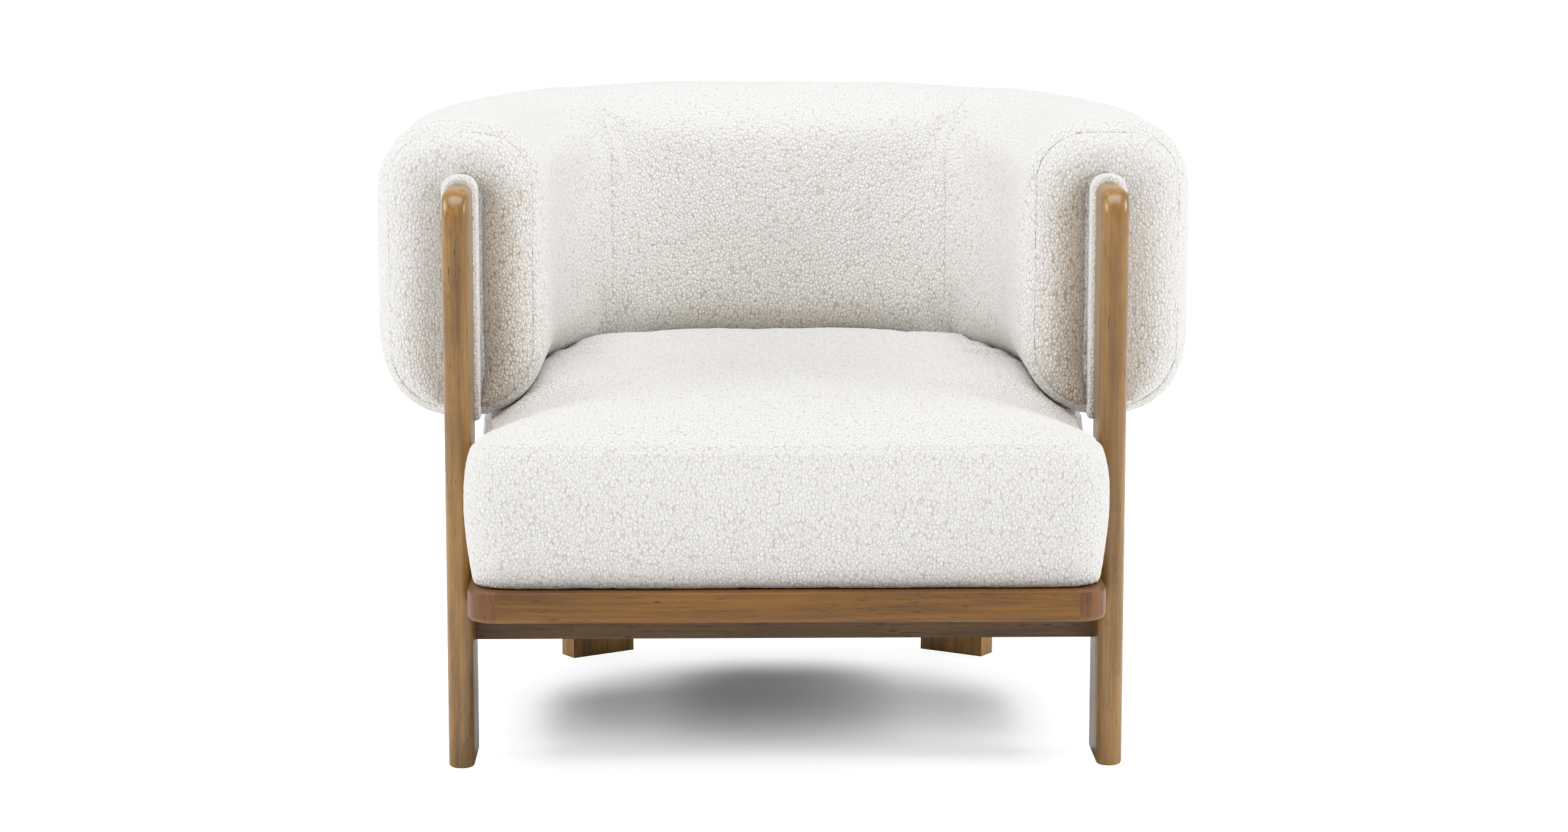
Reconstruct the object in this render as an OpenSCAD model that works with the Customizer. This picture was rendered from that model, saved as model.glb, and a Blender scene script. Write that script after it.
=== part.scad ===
// Barrel-backed upholstered armchair with flat timber posts.
// +Z is up, the chair faces -Y, and the origin is on the floor under the middle of its box.

/* [Overall] */
// Width over the arms
chair_w = 940; // [900:5:980]
// Height of the arm and back band
chair_h = 750; // [735:5:780]
// Depth from the front of the seat frame to the back of the band
chair_d = 865; // [845:5:890]

/* [Posts and legs] */
// Thickness of the flat stock
stock_t = 30; // [28:1:34]
// Width of the flat stock
stock_w = 92; // [88:1:96]
// Clear gap between the two front posts
post_gap = 720; // [700:2:730]
// Height of the front posts
post_h = 671; // [655:1:690]
// How far the posts stand back from the front of the seat frame
post_setback = 109; // [95:1:125]
// Radius of the long front edges of the posts
post_edge_r = 12; // [6:1:13]
// Radius that the top of a post rolls back with
post_roll_r = 34; // [20:1:40]
// Angle in plan between a rear leg and the width of the chair
leg_angle = 33; // [30:1:36]
// Distance of a rear leg's middle from the centre plane
leg_x = 237; // [232:1:242]
// Distance of a rear leg's middle behind the front faces of the posts
leg_back = 617; // [610:1:622]
// Height of the hidden top of the rear legs
leg_h = 585; // [540:5:620]

/* [Seat frame] */
// Underside of the seat frame above the floor
frame_z = 195; // [185:1:205]
// Height of the rails
rail_h = 35; // [30:1:40]
// Thickness of the rails, and radius of the corner blocks
rail_t = 32; // [28:1:36]
// Radius of the lower outer edge of the rails
rail_ease_r = 7; // [3:1:10]
// Height of the front stretcher under the seat frame
stretcher_h = 54; // [45:1:60]

/* [Seat] */
// Height of the cushion's seam above the seat frame
seat_side_h = 158; // [150:1:164]
// Rise of the cushion's crown above its seam
seat_crown_h = 48; // [35:1:52]
// Half width of the cushion in front of the posts
seat_half_w = 367; // [360:1:370]
// Strip of rail left bare in front of the cushion
seat_reveal = 9; // [6:1:14]
// Thickness of the plywood deck
deck_t = 15; // [12:1:18]

/* [Arm and back band] */
// Underside of the band above the floor
band_z = 396; // [392:1:402]
// Straight run of an arm behind the front faces of the posts
arm_straight = 250; // [235:5:265]
// Squareness of the plan curve: 2 is an ellipse
curve_n = 2.7; // [2.5:0.1:2.8]
// Radius of the band's upper edges
band_top_r = 77; // [65:1:84]
// Radius of the band's lower edges
band_low_r = 84; // [75:1:88]
// Radius of the roll round each arm's end
end_roll_r = 14; // [10:1:24]
// Half width of the timber core inside the band
core_hw = 35; // [32:1:38]
// Thickness of the plywood ribs
rib_t = 18; // [15:1:21]

/* [Fixings] */
// Diameter of the bolts
bolt_d = 8; // [6:1:8]
// Diameter of the dowels in the rails
dowel_d = 8; // [6:1:8]

/* [Hidden] */
$fn = 48;
cover_t = 3;            // boucle with its backing
foam_gap = 0.3;         // between foam and what it wraps
welt_t = 12;            // covered strip between a post and its arm
welt_w = stock_t + 19;
welt_rise = 9;          // how far a welt stands above its post
welt_drop = 7;          // and below the band
welt_flat = 6;          // half width of the flat at its top
glide_d = 20;
glide_t = 4;
foot_z = 1;             // the glides stand this far out of the feet
dust_t = 1;
dust_in = 14;           // how far the dust cover stands inside the cushion's widest line
edge_r = 2;             // small easing of timber edges

front_y = -chair_d / 2;
post_y = front_y + post_setback;
arm_x = (post_gap + stock_t) / 2;
band_hw = chair_w / 2 - arm_x;
band_y = post_y + stock_w + welt_t;
turn_y = post_y + arm_straight;
back_y = chair_d / 2 - band_hw;
curve_d = back_y - turn_y;
frame_w = post_gap - 1;
frame_top = frame_z + rail_h;
leg_y = post_y + leg_back;
seam_a = 48;            // where an arm's cover meets the back's, as an angle of the plan curve
core_z = band_z + 48;
core_top = chair_h - 52;
skin_t = 4;             // bent panels on the ribs' edges
rib_hw = core_hw - skin_t;
block_y = band_y + 34;  // front of the timber core in an arm
block_t = 40;
boss_w = 30;            // strip of the arm block that meets the end panel

bolt_head_d = 16;
bolt_head_h = 5;
insert_d = 12;
insert_l = 18;
thread_gap = 0.05;
post_bolt_zs = [480, 560, 640];
side_bolt_ys = [post_y + 24, post_y + 68];
leg_bolt_spread = 50;
cleat_t = 14;
cleat_z = core_z + rib_t;
cleat_h = leg_h - cleat_z;
cleat_bolt_zs = [cleat_z + 30, cleat_z + cleat_h - 30];

boucle = [0.93, 0.91, 0.86];
honey = [0.62, 0.43, 0.22];
chestnut = [0.52, 0.31, 0.18];
ply = [0.80, 0.68, 0.48];
foam_yellow = [0.93, 0.87, 0.62];
black_cloth = [0.06, 0.06, 0.07];
zinc = [0.75, 0.76, 0.78];
beech = [0.83, 0.70, 0.52];

// ---------- general shapes ----------

// A square corner at the origin that, taken away, leaves an edge of radius r.
module corner_cut(r) {
    difference() {
        translate([-1, -1]) square(r + 1);
        translate([r, r]) circle(r);
    }
}

// The same on the right-hand and left-hand halves of the chair.
module both_sides() {
    children();
    mirror([1, 0, 0]) children();
}

function flat_points(rings) = [for (r = rings) each r];

// Faces between rings of m points, from point number at; flipped for an inner wall.
function wall_faces(n, m, at, flip) = [
    for (i = [0:n - 2], j = [0:m - 1])
        let (a = at + i * m + j, b = at + i * m + (j + 1) % m)
            each flip ? [[a, b, b + m], [a, b + m, a + m]] : [[a, b + m, b], [a, a + m, b + m]]
];

// Faces of the strip between an outer ring at a and an inner ring at b.
function rim_faces(m, a, b, flip) = [
    for (j = [0:m - 1])
        let (k = (j + 1) % m)
            each flip ? [[a + j, b + j, b + k], [a + j, b + k, a + k]]
                      : [[a + j, b + k, b + j], [a + j, a + k, b + k]]
];

function cap(m, at, flip) = flip ? [for (j = [0:m - 1]) at + m - 1 - j] : [for (j = [0:m - 1]) at + j];

// A closed solid through rings that run anticlockwise about the direction of travel.
module loft(rings) {
    n = len(rings);
    m = len(rings[0]);
    polyhedron(flat_points(rings),
        concat(wall_faces(n, m, 0, false), [cap(m, 0, false), cap(m, (n - 1) * m, true)]));
}

// A skin between outer and inner rings: open at the start, and at the end unless closed.
module shell(outer, inner, closed = false) {
    n = len(outer);
    m = len(outer[0]);
    total = n * m;
    last = (n - 1) * m;
    ends = closed ? [cap(m, last, true), cap(m, total + last, false)] : rim_faces(m, last, total + last, true);
    polyhedron(concat(flat_points(outer), flat_points(inner)),
        concat(wall_faces(n, m, 0, false), wall_faces(n, m, total, true), rim_faces(m, 0, total, false), ends));
}

// ---------- posts, legs and stretcher ----------

// Flat stock standing with its rounded edges to the front, its middle on the Y axis.
module post_blank() {
    rear = stock_w;
    intersection() {
        translate([-stock_t / 2, 0, foot_z]) linear_extrude(post_h - foot_z) difference() {
            square([stock_t, rear]);
            corner_cut(post_edge_r);
            translate([stock_t, 0]) mirror([1, 0]) corner_cut(post_edge_r);
        }
        rotate([90, 0, 90]) translate([0, 0, -stock_t]) linear_extrude(2 * stock_t) difference() {
            square([rear, post_h]);
            translate([0, post_h]) mirror([0, 1]) corner_cut(post_roll_r);
            corner_cut(edge_r + foot_z);
        }
        rotate([90, 0, 0]) translate([-stock_t / 2, 0, -2 * rear]) linear_extrude(3 * rear) difference() {
            square([stock_t, post_h]);
            translate([0, post_h]) mirror([0, 1]) corner_cut(post_edge_r - 1);
            translate([stock_t, post_h]) mirror([1, 0]) mirror([0, 1]) corner_cut(post_edge_r - 1);
        }
    }
}

module glide_cut(x, y) {
    translate([x, y, -1]) cylinder(d = glide_d, h = glide_t + 1);
}

module front_post() {
    color(honey) difference() {
        translate([-arm_x, post_y, 0]) post_blank();
        glide_cut(-arm_x, post_y + stock_w / 2);
        post_bolt_bores(insert_d, insert_l, bolt_d + 1);
        side_bolt_bores();
        stretcher_dowel_pair(10);
    }
}

module front_post_left() { front_post(); }
module front_post_right() { mirror([1, 0, 0]) front_post(); }

// Moves from the middle of the left rear leg, with X along its width and Y to the back.
module at_leg() {
    translate([-leg_x, leg_y, 0]) rotate([0, 0, leg_angle]) children();
}

module rear_leg() {
    color(honey) difference() {
        at_leg() difference() {
            translate([-stock_w / 2, -stock_t / 2, foot_z]) cube([stock_w, stock_t, leg_h - foot_z]);
            translate([0, 0, -1]) cylinder(d = glide_d, h = glide_t + 1);
        }
        leg_bolt_bores();
        cleat_bolt_bores();
    }
}

module rear_leg_left() { rear_leg(); }
module rear_leg_right() { mirror([1, 0, 0]) rear_leg(); }

stretcher_y = post_y + stock_w - stock_t;

module front_stretcher() {
    color(honey) difference() {
        translate([-post_gap / 2, stretcher_y, frame_z - stretcher_h])
            cube([post_gap, stock_t, stretcher_h]);
        both_sides() stretcher_dowel_pair(10);
    }
}

// ---------- seat frame ----------

// Section of a rail: X from its outer face inward, Y up.
module rail_section() {
    difference() {
        square([rail_t, rail_h]);
        corner_cut(rail_ease_r);
        translate([0, rail_h]) mirror([0, 1]) corner_cut(edge_r);
    }
}

// Point where the line through p with direction u meets the line through q with direction v.
function crossing(p, u, q, v) =
    let (k = ((q.x - p.x) * v.y - (q.y - p.y) * v.x) / (u.x * v.y - u.y * v.x)) p + k * u;

// The slanted rail's outer line lies on the front face of the left rear leg.
slant = [cos(leg_angle), sin(leg_angle)];
slant_in = [sin(leg_angle), -cos(leg_angle)];
leg_face = [-leg_x, leg_y] + slant_in * stock_t / 2;
rear_rail_x = 150;      // half length of the rear rail
side_in = [-frame_w / 2 + rail_t, 0];
outer_a = crossing(leg_face, slant, [-frame_w / 2, 0], [0, 1]);
outer_b = crossing(leg_face, slant, [-rear_rail_x, 0], [0, 1]);
inner_a = crossing(leg_face + slant_in * rail_t, slant, side_in, [0, 1]);
inner_b = crossing(leg_face + slant_in * rail_t, slant, [0, outer_b.y - rail_t], [1, 0]);
side_start = front_y + rail_t;

module front_rail() {
    color(honey) difference() {
        translate([-frame_w / 2 + rail_t, front_y, frame_z])
            rotate([90, 0, 90]) linear_extrude(frame_w - 2 * rail_t) rail_section();
        both_sides() rail_dowel_set();
        both_sides() deck_screw_bores();
    }
}

module front_corner() {
    color(chestnut) difference() {
        translate([-frame_w / 2 + rail_t, side_start, frame_z]) rotate([0, 0, 180])
            rotate_extrude(angle = 90) translate([rail_t, 0]) mirror([1, 0]) rail_section();
        rail_dowel_set();
    }
}

module front_corner_left() { front_corner(); }
module front_corner_right() { mirror([1, 0, 0]) front_corner(); }

module side_rail() {
    color(honey) difference() {
        intersection() {
            translate([-frame_w / 2, outer_a.y + rail_t, frame_z]) rotate([90, 0, 0])
                linear_extrude(outer_a.y + rail_t - side_start) rail_section();
            translate([0, 0, frame_z - 1]) linear_extrude(rail_h + 2) polygon([
                [-frame_w / 2 - 1, side_start], [side_in.x, side_start], inner_a, outer_a,
                outer_a - [1, 0]]);
        }
        rail_dowel_set();
        side_bolt_bores();
        deck_screw_bores();
    }
}

module side_rail_left() { side_rail(); }
module side_rail_right() { mirror([1, 0, 0]) side_rail(); }

module rear_corner() {
    color(honey) difference() {
        translate([0, 0, frame_z]) linear_extrude(rail_h) polygon([outer_a, inner_a, inner_b, outer_b]);
        rail_dowel_set();
        leg_bolt_bores();
    }
}

module rear_corner_left() { rear_corner(); }
module rear_corner_right() { mirror([1, 0, 0]) rear_corner(); }

module rear_rail() {
    color(honey) difference() {
        translate([0, 0, frame_z]) linear_extrude(rail_h) polygon([
            outer_b, inner_b, [-inner_b.x, inner_b.y], [-outer_b.x, outer_b.y]]);
        both_sides() rail_dowel_set();
        both_sides() deck_screw_bores();
    }
}

// ---------- seat ----------

function bend(p, q, r, steps) = [
    for (i = [0:steps]) let (t = i / steps) (1 - t) * (1 - t) * p + 2 * t * (1 - t) * q + t * t * r
];
function smooth(a, b, x) = let (t = max(0, min(1, (x - a) / (b - a)))) t * t * (3 - 2 * t);

seat_front_y = front_y + seat_reveal;
seat_corner_r = 46;
seat_waist_w = post_gap / 2 - 3;                // half width between the posts
seat_rear_w = frame_w / 2 + 1;                  // half width behind them
seat_rear_y = outer_b.y - 24;
seat_mid_y = (seat_front_y + seat_rear_y) / 2;
seat_slant = [-outer_a.x - 4, outer_a.y - 14];  // corner that the slanted side turns at
seat_heel = [rear_rail_x - 12, seat_rear_y];

// Half width of the cushion along its side.
function seat_side_w(y) =
    seat_half_w - (seat_half_w - seat_waist_w) * smooth(post_y - 34, post_y - 6, y)
        + (seat_rear_w - seat_waist_w) * smooth(post_y + stock_w + 4, post_y + stock_w + 50, y);

// Right-hand half of the cushion's plan, from the front to the back.
seat_half = concat(
    [for (a = [-90:18:0])
        [seat_half_w - seat_corner_r, seat_front_y + seat_corner_r] + seat_corner_r * [cos(a), sin(a)]],
    [for (y = [post_y - 34, post_y - 20, post_y - 6, post_y + stock_w + 4, post_y + stock_w + 50])
        [seat_side_w(y), y]],
    bend([seat_rear_w, seat_slant.y - 70], seat_slant, seat_slant + 70 * [-slant.x, slant.y], 5),
    bend(seat_heel + 60 * [slant.x, -slant.y], seat_heel, seat_heel - [60, 0], 4));
seat_count = len(seat_half);
seat_plan = concat(seat_half, [for (i = [seat_count - 1:-1:0]) [-seat_half[i].x, seat_half[i].y]]);

// The cushion's plan drawn in by d, at height z.
function seat_ring(d, z) = let (s = 1 - d / seat_half_w)
    [for (p = seat_plan) [p.x * s, seat_mid_y + (p.y - seat_mid_y) * s, z]];
function seat_flat(d) = [for (p = seat_ring(d, 0)) [p.x, p.y]];

seat_z = frame_top + dust_t;
seam_z = frame_top + seat_side_h;
crown_z = seam_z + seat_crown_h;
hem_w = 52;             // how far the cover turns under the deck
waist_z = (seat_z + seam_z) / 2;

// Section of the cushion, as [drawn in, height], from the hem to the top.
seat_section = [[hem_w, seat_z], [26, seat_z], [16, seat_z + 6], [9, seat_z + 22], [2, waist_z - 24],
    [0, waist_z], [2, waist_z + 30], [7, seam_z - 12], [13, seam_z], [28, seam_z + 7], [48, seam_z + 14],
    [68, seam_z + 25], [92, seam_z + 36], [135, seam_z + 43], [215, seam_z + 47], [315, crown_z]];
section_count = len(seat_section);

// The section moved inward by t, square to itself.
function seat_section_in(t) = [
    for (i = [0:section_count - 1])
        let (a = seat_section[max(0, i - 1)], b = seat_section[min(section_count - 1, i + 1)],
             d = (b - a) / norm(b - a))
            seat_section[i] + t * [d.y, -d.x]
];
function seat_rings(t) = [for (p = seat_section_in(t)) seat_ring(p.x, p.y)];

module seat_cover() {
    color(boucle) difference() {
        shell(seat_rings(0), seat_rings(cover_t), closed = true);
        both_sides() deck_screw_bores();
    }
}

deck_z = seat_z + cover_t;
deck_in = 34;           // how far the deck stands inside the cushion's widest line
deck_ring_w = 75;
webbing_t = 1.6;
foam_z = deck_z + deck_t + 2 * webbing_t + foam_gap;
crown_split_z = seam_z - 20;

module seat_deck() {
    color(ply) translate([0, 0, deck_z]) difference() {
        linear_extrude(deck_t) difference() {
            polygon(seat_flat(deck_in));
            polygon(seat_flat(deck_in + deck_ring_w));
        }
        translate([0, 0, -deck_z]) both_sides() deck_screw_bores();
    }
}

webbing_w = 50;
webbing_pitch = 88;

module webbing_long() {
    color(black_cloth) translate([0, 0, deck_z + deck_t])
        for (i = [-2:2]) intersection() {
            translate([i * webbing_pitch * 1.15 - webbing_w / 2, -chair_d / 2, 0])
                cube([webbing_w, chair_d, webbing_t]);
            linear_extrude(webbing_t) polygon(seat_flat(deck_in + 12));
        }
}

module webbing_cross() {
    color(black_cloth) translate([0, 0, deck_z + deck_t + webbing_t])
        for (i = [-2:2]) intersection() {
            translate([-chair_w / 2, seat_mid_y + i * webbing_pitch - webbing_w / 2, 0])
                cube([chair_w, webbing_w, webbing_t]);
            linear_extrude(webbing_t) polygon(seat_flat(deck_in + 12));
        }
}

module cushion_slice(low, high) {
    intersection() {
        loft(seat_rings(cover_t + foam_gap));
        translate([-chair_w / 2, -chair_d / 2, low]) cube([chair_w, chair_d, high - low]);
    }
}

module seat_foam() { color(foam_yellow) cushion_slice(foam_z, crown_split_z); }
module seat_crown() { color(boucle) cushion_slice(crown_split_z, chair_h); }

module dust_cover() {
    color(black_cloth) difference() {
        translate([0, 0, frame_top]) linear_extrude(dust_t) polygon(seat_flat(dust_in));
        both_sides() deck_screw_bores();
    }
}

// ---------- arm and back band ----------

function signed_pow(x, p) = sign(x) * pow(abs(x), p);

// Middle line of the band: an arm's straight run ends at angle 0, the back's middle is at 90.
function band_mid(a) = [-arm_x * signed_pow(cos(a), 2 / curve_n),
                        turn_y + curve_d * pow(abs(sin(a)), 2 / curve_n)];
function band_out(a) =
    let (c = signed_pow(cos(a), 2 - 2 / curve_n), s = pow(abs(sin(a)), 2 - 2 / curve_n),
         g = [-c / arm_x, s / curve_d])
        g / norm(g);

// A station is [middle, outward direction].
function turn_station(a) = [band_mid(a), band_out(a)];
function arm_station(y) = [[-arm_x, y], [-1, 0]];

// Rounded section of the band, drawn in by d, as [outward, up].
function band_section(d) =
    let (top_x = band_hw - band_top_r, low_x = band_hw - band_low_r,
         spots = [[top_x, chair_h - band_top_r, band_top_r - d, 0],
                  [-top_x, chair_h - band_top_r, band_top_r - d, 90],
                  [-low_x, band_z + band_low_r, band_low_r - d, 180],
                  [low_x, band_z + band_low_r, band_low_r - d, 270]])
        [for (s = spots, a = [0:15:90]) [s[0], s[1]] + s[2] * [cos(s[3] + a), sin(s[3] + a)]];

function band_ring(station, d) = [
    for (p = band_section(d)) [each (station[0] + station[1] * p.x), p.y]
];

// Rings of the left arm with its rolled end, drawn in by d, up to the seam with the back.
function arm_rings(d) = let (r = end_roll_r - d) concat(
    [for (f = [0:18:90]) band_ring(arm_station(band_y + d + r * (1 - cos(f))), d + r * (1 - sin(f)))],
    [for (a = [0:8:seam_a]) band_ring(turn_station(a), d)]);
function back_rings(d) = [for (a = [seam_a:6:180 - seam_a]) band_ring(turn_station(a), d)];

module leg_slot(clear) {
    at_leg() translate([-stock_w / 2 - clear, -stock_t / 2 - clear, 0])
        cube([stock_w + 2 * clear, stock_t + 2 * clear, leg_h + clear]);
}

module arm_cover() {
    color(boucle) shell(arm_rings(0), arm_rings(cover_t));
}

module arm_cover_left() { arm_cover(); }
module arm_cover_right() { mirror([1, 0, 0]) arm_cover(); }

module back_cover() {
    color(boucle) difference() {
        shell(back_rings(0), back_rings(cover_t));
        both_sides() leg_slot(1);
    }
}

// A strip of the whole horseshoe between two offsets from its middle line, from the line y
// on one arm to the same line on the other.
module horseshoe(low, high, y) {
    angles = [0:5:180];
    polygon(concat(
        [[-arm_x - high, y]], [for (a = angles) band_mid(a) + band_out(a) * high], [[arm_x + high, y]],
        [[arm_x + low, y]], [for (a = angles) band_mid(180 - a) + band_out(180 - a) * low],
        [[-arm_x - low, y]]));
}

module core_space(grow) {
    translate([0, 0, core_z - grow]) linear_extrude(core_top - core_z + 2 * grow)
        horseshoe(-core_hw - grow, core_hw + grow, block_y - grow);
}

module boss_space(grow) {
    translate([-arm_x - boss_w / 2 - grow, band_y + cover_t - grow, post_bolt_zs[0] - 25 - grow])
        cube([boss_w + 2 * grow, block_y - band_y - cover_t + 2 * grow,
              post_bolt_zs[2] - post_bolt_zs[0] + 50 + 2 * grow]);
}

module arm_foam() {
    color(foam_yellow) difference() {
        loft(arm_rings(cover_t + foam_gap));
        core_space(foam_gap);
        boss_space(foam_gap);
    }
}

module arm_foam_left() { arm_foam(); }
module arm_foam_right() { mirror([1, 0, 0]) arm_foam(); }

module back_foam() {
    color(foam_yellow) difference() {
        loft(back_rings(cover_t + foam_gap));
        core_space(foam_gap);
        both_sides() leg_slot(1);
    }
}

module rib(z) {
    translate([0, 0, z]) linear_extrude(rib_t) horseshoe(-rib_hw, rib_hw, block_y + block_t);
}

module lower_rib() {
    color(ply) difference() {
        rib(core_z);
        both_sides() leg_slot(0.2);
    }
}

module upper_rib() { color(ply) rib(core_top - rib_t); }

upright_angles = [14, 34, 74, 90];

module upright_at(station, turn) {
    translate([station[0].x, station[0].y, core_z + rib_t]) rotate([0, 0, turn])
        translate([-rib_hw + 1, -15, 0]) cube([2 * rib_hw - 2, 30, core_top - core_z - 2 * rib_t]);
}

module rib_uprights() {
    color(beech) {
        for (a = upright_angles) {
            s = turn_station(a);
            turn = atan2(s[1].y, s[1].x);
            upright_at(s, turn);
            if (a < 90) mirror([1, 0, 0]) upright_at(s, turn);
        }
    }
}

// Blocks beside the rear legs, on the sitter's side.
module leg_cleats() {
    color(beech) difference() {
        both_sides() at_leg() translate([-stock_w / 2, -stock_t / 2 - cleat_t, cleat_z])
            cube([stock_w, cleat_t, cleat_h]);
        both_sides() cleat_bolt_bores();
    }
}

module arm_block() {
    color(beech) difference() {
        union() {
            translate([-arm_x - rib_hw, block_y, core_z]) cube([2 * rib_hw, block_t, core_top - core_z]);
            boss_space(0);
        }
        post_bolt_bores(bolt_d + 0.5, stock_w, bolt_d + 0.5);
    }
}

module arm_block_left() { arm_block(); }
module arm_block_right() { mirror([1, 0, 0]) arm_block(); }

module panel(low, high) {
    translate([0, 0, core_z]) linear_extrude(core_top - core_z) horseshoe(low, high, block_y);
}

module inner_panel() { color(ply) panel(-core_hw, -rib_hw); }
module outer_panel() { color(ply) panel(rib_hw, core_hw); }

module end_panel() {
    color(boucle) difference() {
        translate([-arm_x, band_y + cover_t, 0]) rotate([90, 0, 0]) linear_extrude(cover_t)
            polygon(band_section(end_roll_r + 0.2));
        post_bolt_bores(bolt_d + 0.5, stock_w, bolt_d + 0.5);
    }
}

module end_panel_left() { end_panel(); }
module end_panel_right() { mirror([1, 0, 0]) end_panel(); }

// Covered strip behind a post, round at the top like the post.
module welt() {
    top = post_h + welt_rise;
    low = band_z - welt_drop;
    color(boucle) difference() {
        translate([-arm_x, post_y + stock_w + welt_t, 0]) rotate([90, 0, 0]) linear_extrude(welt_t)
            difference() {
                translate([-welt_w / 2, low]) square([welt_w, top - low]);
                translate([-welt_w / 2, top]) mirror([0, 1]) corner_cut(welt_w / 2 - welt_flat);
                translate([welt_w / 2, top]) mirror([1, 0]) mirror([0, 1]) corner_cut(welt_w / 2 - welt_flat);
            }
        post_bolt_bores(bolt_d + 0.5, stock_w, bolt_d + 0.5);
    }
}

module welt_left() { welt(); }
module welt_right() { mirror([1, 0, 0]) welt(); }

// ---------- fixings ----------

// A bolt along +Z from the underside of its head.
module bolt(l) {
    translate([0, 0, -bolt_head_h]) cylinder(d = bolt_head_d, h = bolt_head_h);
    cylinder(d = bolt_d, h = l);
}

module insert() {
    difference() {
        cylinder(d = insert_d, h = insert_l);
        translate([0, 0, -1]) cylinder(d = bolt_d + 2 * thread_gap, h = insert_l + 2);
    }
}

post_back_y = post_y + stock_w;
block_back_y = block_y + block_t;

// Bores along Y for the left post's bolts: a wide mouth of depth deep, and a run right to the block.
module post_bolt_bores(mouth_d, deep, run_d) {
    for (z = post_bolt_zs) translate([-arm_x, block_back_y + 1, z]) rotate([90, 0, 0]) {
        cylinder(d = run_d, h = block_back_y + 1 - post_back_y + insert_l + 8);
        translate([0, 0, block_back_y + 1 - post_back_y]) cylinder(d = mouth_d, h = min(deep, insert_l));
    }
}

module post_bolts() {
    color(zinc) both_sides() for (z = post_bolt_zs)
        translate([-arm_x, block_back_y, z]) rotate([90, 0, 0]) bolt(block_back_y - post_back_y + insert_l + 4);
}

module post_inserts() {
    color(zinc) both_sides() for (z = post_bolt_zs)
        translate([-arm_x, post_back_y, z]) rotate([90, 0, 0]) insert();
}

bolt_mid_z = frame_z + rail_h / 2;
side_bolt_x = frame_w / 2 - rail_t;

// Bores along X through the left side rail into its post.
module side_bolt_bores() {
    for (y = side_bolt_ys) translate([-side_bolt_x + 1, y, bolt_mid_z]) rotate([0, -90, 0]) {
        cylinder(d = bolt_d + 0.5, h = rail_t + 1.5);
        translate([0, 0, rail_t + 1.5]) cylinder(d = insert_d, h = insert_l);
    }
}

module side_bolts() {
    color(zinc) both_sides() for (y = side_bolt_ys)
        translate([-side_bolt_x, y, bolt_mid_z]) rotate([0, -90, 0]) bolt(rail_t + insert_l - 1);
}

module side_inserts() {
    color(zinc) both_sides() for (y = side_bolt_ys)
        translate([-post_gap / 2, y, bolt_mid_z]) rotate([0, -90, 0]) insert();
}

// Places on the inner face of the left slanted rail, with +Z towards the leg.
module at_leg_bolts() {
    at_leg() for (s = [-1, 1])
        translate([s * leg_bolt_spread / 2, -stock_t / 2 - rail_t, bolt_mid_z]) rotate([-90, 0, 0]) children();
}

module leg_bolt_bores() {
    at_leg_bolts() translate([0, 0, -1]) {
        cylinder(d = bolt_d + 0.5, h = rail_t + 1);
        translate([0, 0, rail_t + 1]) cylinder(d = insert_d, h = insert_l);
    }
}

module leg_bolts() { color(zinc) both_sides() at_leg_bolts() bolt(rail_t + insert_l - 1); }
module leg_inserts() { color(zinc) both_sides() at_leg_bolts() translate([0, 0, rail_t]) insert(); }

module at_cleat_bolts() {
    at_leg() for (z = cleat_bolt_zs) translate([0, -stock_t / 2 - cleat_t, z]) rotate([-90, 0, 0]) children();
}

module cleat_bolt_bores() {
    at_cleat_bolts() translate([0, 0, -1]) cylinder(d = 6, h = cleat_t + stock_t - 5);
}

module cleat_bolts() {
    color(zinc) both_sides() at_cleat_bolts() {
        cylinder(d = 6 - 2 * thread_gap, h = cleat_t + stock_t - 8);
        translate([0, 0, -2.5]) cylinder(d = 12, h = 2.5);
    }
}

// Two dowels between the left post and the stretcher.
module stretcher_dowel_pair(d) {
    for (s = [-1, 1])
        translate([-post_gap / 2 - 20, stretcher_y + stock_t / 2, frame_z - stretcher_h / 2 + s * 14])
            rotate([0, 90, 0]) cylinder(d = d, h = 55);
}

module stretcher_dowels() { color(beech) both_sides() stretcher_dowel_pair(10); }

// Dowels across the joints of the left half of the seat frame: [point, direction in plan, height].
rail_dowel_spots = [
    [[-frame_w / 2 + rail_t, front_y + rail_t / 2], 0, frame_z + 11],
    [[-frame_w / 2 + rail_t / 2, side_start], 90, frame_z + rail_h - 10],
    [(outer_a + inner_a) / 2, 90 - (90 - leg_angle) / 2, frame_z + rail_h / 2],
    [(outer_b + inner_b) / 2, leg_angle / 2, frame_z + rail_h / 2]];

module rail_dowel_set() {
    for (s = rail_dowel_spots)
        translate([s[0].x, s[0].y, s[2]]) rotate([0, 0, s[1]]) rotate([0, 90, 0])
            cylinder(d = dowel_d, h = 36, center = true);
}

module rail_dowels() { color(beech) both_sides() rail_dowel_set(); }

// Screws up through the rails into the deck, on the left half of the frame.
deck_screw_spots = [[-150, front_y + rail_t / 2 + 16], [-frame_w / 2 + rail_t - 7, post_y + 190],
    [-70, outer_b.y - rail_t + 8]];
screw_d = 5;
screw_sink = 12;

module deck_screw_bores() {
    for (p = deck_screw_spots) translate([p.x, p.y, frame_z - 1]) {
        cylinder(d = screw_d, h = rail_h + dust_t + cover_t + deck_t - 2);
        cylinder(d = 10, h = screw_sink + 1);
    }
}

module deck_screws() {
    color(zinc) both_sides() for (p = deck_screw_spots) translate([p.x, p.y, frame_z + screw_sink]) {
        translate([0, 0, -3]) cylinder(d = 9, h = 3);
        cylinder(d = screw_d - 2 * thread_gap, h = rail_h - screw_sink + dust_t + cover_t + deck_t - 5);
    }
}

module glides() {
    color(black_cloth) both_sides() {
        translate([-arm_x, post_y + stock_w / 2, 0]) cylinder(d = glide_d, h = glide_t);
        at_leg() cylinder(d = glide_d, h = glide_t);
    }
}

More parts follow.
